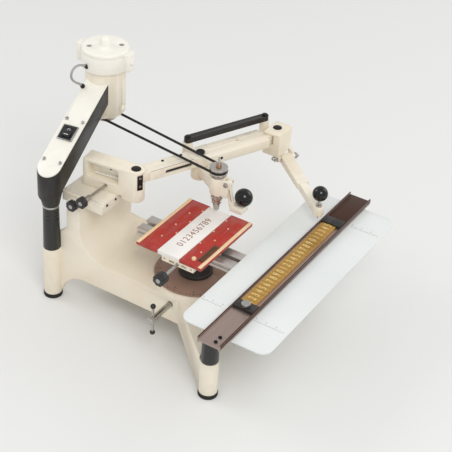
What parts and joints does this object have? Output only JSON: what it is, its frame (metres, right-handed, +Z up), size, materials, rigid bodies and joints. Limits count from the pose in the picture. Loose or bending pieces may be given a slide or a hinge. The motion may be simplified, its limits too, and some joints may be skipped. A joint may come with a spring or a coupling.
{
  "type": "pantograph engraving machine",
  "caption": "Bench pantograph engraving machine with a belt driven spindle on a swing arm, a turntable vice and a copy table with a sliding type rail.",
  "frame": {"origin": "centre of the underside of the back left foot, under the column", "axes": "+X along the copy rail to the right, +Y from the copy table to the tower, +Z up"},
  "size_m": [0.552, 0.6343, 0.47],
  "materials": {
    "base_casting": "cream stove enamel on cast iron",
    "foot_pads": "matt rubber",
    "column_sleeve": "satin black",
    "column_spigot": "turned",
    "front_sleeves": "satin black",
    "copy_plate": "white painted sheet",
    "copy_guide": "black",
    "saddle": "cream enamel",
    "graduated_disc": "brown grey, engraved scale",
    "arm_casting": "black enamel",
    "arm_cover": "off white enamel",
    "arm_screws": "steel",
    "motor_housing": "cream enamel",
    "motor_cap": "off white enamel",
    "brush_caps": "moulded",
    "motor_lead": "black rubber",
    "switch_frame": "moulded",
    "switch_rocker": "moulded",
    "motor_pulley": "turned",
    "drive_belt": "round belt",
    "saddle_knob": "moulded",
    "head_knob": "moulded",
    "bracket": "cream enamel",
    "slot_plate": "black",
    "main_pin": "blackened",
    "inner_arm": "cream enamel",
    "outer_arm": "cream enamel",
    "spindle_bracket": "cream enamel",
    "spindle_pin": "blackened",
    "link_rod": "black enamel",
    "quill": "turned",
    "depth_collar": "knurled",
    "spindle_pulley": "turned",
    "collet_nut": "turned",
    "spindle_shaft": "ground",
    "lift_lever": "cream enamel",
    "lever_ball": "polished",
    "tracer_block": "cream enamel",
    "tracer_pin": "blackened",
    "hinge_pin": "bright",
    "tracer_arm": "cream enamel",
    "tracer_ball": "polished",
    "stylus": "hardened",
    "turntable_hub": "cream enamel",
    "slot_rail": "extruded",
    "vice_body": "cream enamel",
    "cross_bars": "ground",
    "work_plate": "white laminate",
    "jaw_back": "red enamel",
    "jaw_front": "red enamel",
    "edge_profile": "ribbed",
    "carriage_lock": "dark",
    "vice_screw": "turned",
    "vice_knob": "fluted",
    "copy_rail": "anodised",
    "type_strip": "engraved type",
    "clamp_left": "black",
    "clamp_thumb": "knurled",
    "clamp_right": "black",
    "side_screw": "bright"
  },
  "bodies": {
    "base": {"base_casting": "base_casting", "foot_pads": "foot_pads", "column_sleeve": "column_sleeve", "column_spigot": "column_spigot", "front_sleeves": "front_sleeves", "copy_plate": "copy_plate", "copy_guide": "copy_guide", "saddle": "saddle", "graduated_disc": "graduated_disc"},
    "motor_arm": {"arm_casting": "arm_casting", "arm_cover": "arm_cover", "arm_screws": "arm_screws", "motor_housing": "motor_housing", "motor_cap": "motor_cap", "brush_caps": "brush_caps", "motor_lead": "motor_lead", "switch_frame": "switch_frame"},
    "rocker": {"switch_rocker": "switch_rocker"},
    "motor_shaft": {"motor_pulley": "motor_pulley"},
    "belt": {"drive_belt": "drive_belt"},
    "saddle_clamp": {"saddle_knob": "saddle_knob"},
    "head": {"bracket": "bracket", "slot_plate": "slot_plate", "main_pin": "main_pin"},
    "head_clamp": {"head_knob": "head_knob"},
    "main_bar": {"inner_arm": "inner_arm", "outer_arm": "outer_arm"},
    "spindle_carrier": {"spindle_bracket": "spindle_bracket", "spindle_pin": "spindle_pin"},
    "link": {"link_rod": "link_rod"},
    "quill_unit": {"quill": "quill"},
    "collar": {"depth_collar": "depth_collar"},
    "top_pulley": {"spindle_pulley": "spindle_pulley", "collet_nut": "collet_nut"},
    "shaft": {"spindle_shaft": "spindle_shaft"},
    "lever": {"lift_lever": "lift_lever", "lever_ball": "lever_ball"},
    "tracer_carrier": {"tracer_block": "tracer_block", "tracer_pin": "tracer_pin", "hinge_pin": "hinge_pin"},
    "tracer": {"tracer_arm": "tracer_arm", "tracer_ball": "tracer_ball", "stylus": "stylus"},
    "turntable": {"turntable_hub": "turntable_hub", "slot_rail": "slot_rail"},
    "vice": {"vice_body": "vice_body", "cross_bars": "cross_bars", "work_plate": "work_plate"},
    "rear_jaw": {"jaw_back": "jaw_back"},
    "front_jaw": {"jaw_front": "jaw_front", "edge_profile": "edge_profile"},
    "roller": {"carriage_lock": "carriage_lock"},
    "screw": {"vice_screw": "vice_screw", "vice_knob": "vice_knob"},
    "copy_slide": {"copy_rail": "copy_rail", "type_strip": "type_strip"},
    "left_clamp": {"clamp_left": "clamp_left"},
    "thumb": {"clamp_thumb": "clamp_thumb"},
    "right_clamp": {"clamp_right": "clamp_right"},
    "side_clamp": {"side_screw": "side_screw"}
  },
  "joints": [
    {"name": "arm_swivel", "type": "hinge", "parent": "base", "child": "motor_arm", "pos_m": [0, 0, 0.2133], "axis": [0, 0, 1], "range_deg": [-9, 2.5]},
    {"name": "rocker_tip", "type": "hinge", "parent": "motor_arm", "child": "rocker", "pos_m": [0.06799, 0.01004, 0.33018], "axis": [-0.1461, 0.9893, 0], "range_deg": [-14, 0]},
    {"name": "motor_spin", "type": "hinge", "parent": "motor_arm", "child": "motor_shaft", "pos_m": [0.21269, 0.03141, 0.302], "axis": [0, 0, 1], "continuous": true},
    {"name": "belt_turn", "type": "hinge", "parent": "motor_arm", "child": "belt", "pos_m": [0.21269, 0.03141, 0.302], "axis": [0, 0, 1], "range_deg": [-2, 1], "deforming": ["drive_belt"]},
    {"name": "saddle_clamp_turn", "type": "hinge", "parent": "base", "child": "saddle_clamp", "pos_m": [0, -0.057, 0.236], "axis": [1, 0, 0], "range_deg": [-180, 180]},
    {"name": "head_height", "type": "slide", "parent": "base", "child": "head", "axis": [0, 0, 1], "range_m": [0, 0.004]},
    {"name": "head_clamp_turn", "type": "hinge", "parent": "head", "child": "head_clamp", "pos_m": [0, -0.08, 0.252], "axis": [1, 0, 0], "range_deg": [-180, 180]},
    {"name": "bar_swing", "type": "hinge", "parent": "head", "child": "main_bar", "pos_m": [0.088, -0.133, 0.283], "axis": [0, 0, 1], "range_deg": [-20, 5]},
    {"name": "carrier_swing", "type": "hinge", "parent": "main_bar", "child": "spindle_carrier", "pos_m": [0.21648, -0.19155, 0.283], "axis": [0, 0, 1], "range_deg": [-8, 8]},
    {"name": "tracer_carrier_swing", "type": "hinge", "parent": "main_bar", "child": "tracer_carrier", "pos_m": [0.38001, -0.26608, 0.283], "axis": [0, 0, 1], "range_deg": [-8, 8]},
    {"name": "link_swing", "type": "hinge", "parent": "spindle_carrier", "child": "link", "pos_m": [0.22648, -0.15555, 0.304], "axis": [0, 0, 1], "range_deg": [-8, 8]},
    {"name": "quill_slide", "type": "slide", "parent": "spindle_carrier", "child": "quill_unit", "axis": [0, 0, 1], "range_m": [-0.0035, 0]},
    {"name": "collar_turn", "type": "hinge", "parent": "quill_unit", "child": "collar", "pos_m": [0.17301, -0.26002, 0.241], "axis": [0, 0, 1], "range_deg": [-180, 180]},
    {"name": "pulley_spin", "type": "hinge", "parent": "spindle_carrier", "child": "top_pulley", "pos_m": [0.17301, -0.26002, 0.302], "axis": [0, 0, 1], "continuous": true},
    {"name": "shaft_spin", "type": "hinge", "parent": "quill_unit", "child": "shaft", "pos_m": [0.17301, -0.26002, 0.25], "axis": [0, 0, 1], "continuous": true},
    {"name": "lever_swing", "type": "hinge", "parent": "spindle_carrier", "child": "lever", "pos_m": [0.17301, -0.28302, 0.281], "axis": [1, 0, 0], "range_deg": [0, 8.1]},
    {"name": "tracer_lift", "type": "hinge", "parent": "tracer_carrier", "child": "tracer", "pos_m": [0.38051, -0.28908, 0.238], "axis": [-0.8004, 0.5994, 0], "range_deg": [0, 20]},
    {"name": "turntable_turn", "type": "hinge", "parent": "base", "child": "turntable", "pos_m": [0.096, -0.269, 0.118], "axis": [0, 0, 1], "range_deg": [-90, 12]},
    {"name": "carriage_slide", "type": "slide", "parent": "turntable", "child": "vice", "axis": [0, 1, 0], "range_m": [-0.03, 0.04]},
    {"name": "roller_turn", "type": "hinge", "parent": "vice", "child": "roller", "pos_m": [0.088, -0.324, 0.192], "axis": [1, 0, 0], "range_deg": [-90, 90]},
    {"name": "screw_turn", "type": "hinge", "parent": "vice", "child": "screw", "pos_m": [0.008, -0.2835, 0.191], "axis": [1, 0, 0], "range_deg": [0, 540]},
    {"name": "rear_jaw_slide", "type": "slide", "parent": "vice", "child": "rear_jaw", "axis": [0, 1, 0], "range_m": [0, 0.006]},
    {"name": "front_jaw_slide", "type": "slide", "parent": "vice", "child": "front_jaw", "axis": [0, -1, 0], "range_m": [0, 0.006]},
    {"name": "copy_travel", "type": "slide", "parent": "base", "child": "copy_slide", "axis": [1, 0, 0], "range_m": [-0.04, 0.04]},
    {"name": "left_clamp_slide", "type": "slide", "parent": "copy_slide", "child": "left_clamp", "axis": [1, 0, 0], "range_m": [-0.06, 0]},
    {"name": "thumb_turn", "type": "hinge", "parent": "left_clamp", "child": "thumb", "pos_m": [-0.028, -0.451, 0.2], "axis": [0, 0, 1], "range_deg": [-180, 180]},
    {"name": "right_clamp_slide", "type": "slide", "parent": "copy_slide", "child": "right_clamp", "axis": [1, 0, 0], "range_m": [0, 0.06]},
    {"name": "side_clamp_turn", "type": "hinge", "parent": "base", "child": "side_clamp", "pos_m": [0.006, -0.272, 0.096], "axis": [1, 0, 0], "range_deg": [-90, 90]}
  ],
  "couplings": [
    {"joint": "arm_swivel", "follows": "bar_swing", "ratio": 0.43},
    {"joint": "belt_turn", "follows": "bar_swing", "ratio": 0.085},
    {"joint": "tracer_carrier_swing", "follows": "carrier_swing", "ratio": 1},
    {"joint": "link_swing", "follows": "carrier_swing", "ratio": -1},
    {"joint": "pulley_spin", "follows": "motor_spin", "ratio": 1.2581},
    {"joint": "shaft_spin", "follows": "motor_spin", "ratio": 1.2581},
    {"joint": "lever_swing", "follows": "quill_slide", "rad_per_m": -39.9},
    {"joint": "screw_turn", "follows": "rear_jaw_slide", "rad_per_m": 1570.8},
    {"joint": "front_jaw_slide", "follows": "rear_jaw_slide", "ratio": 1}
  ]
}
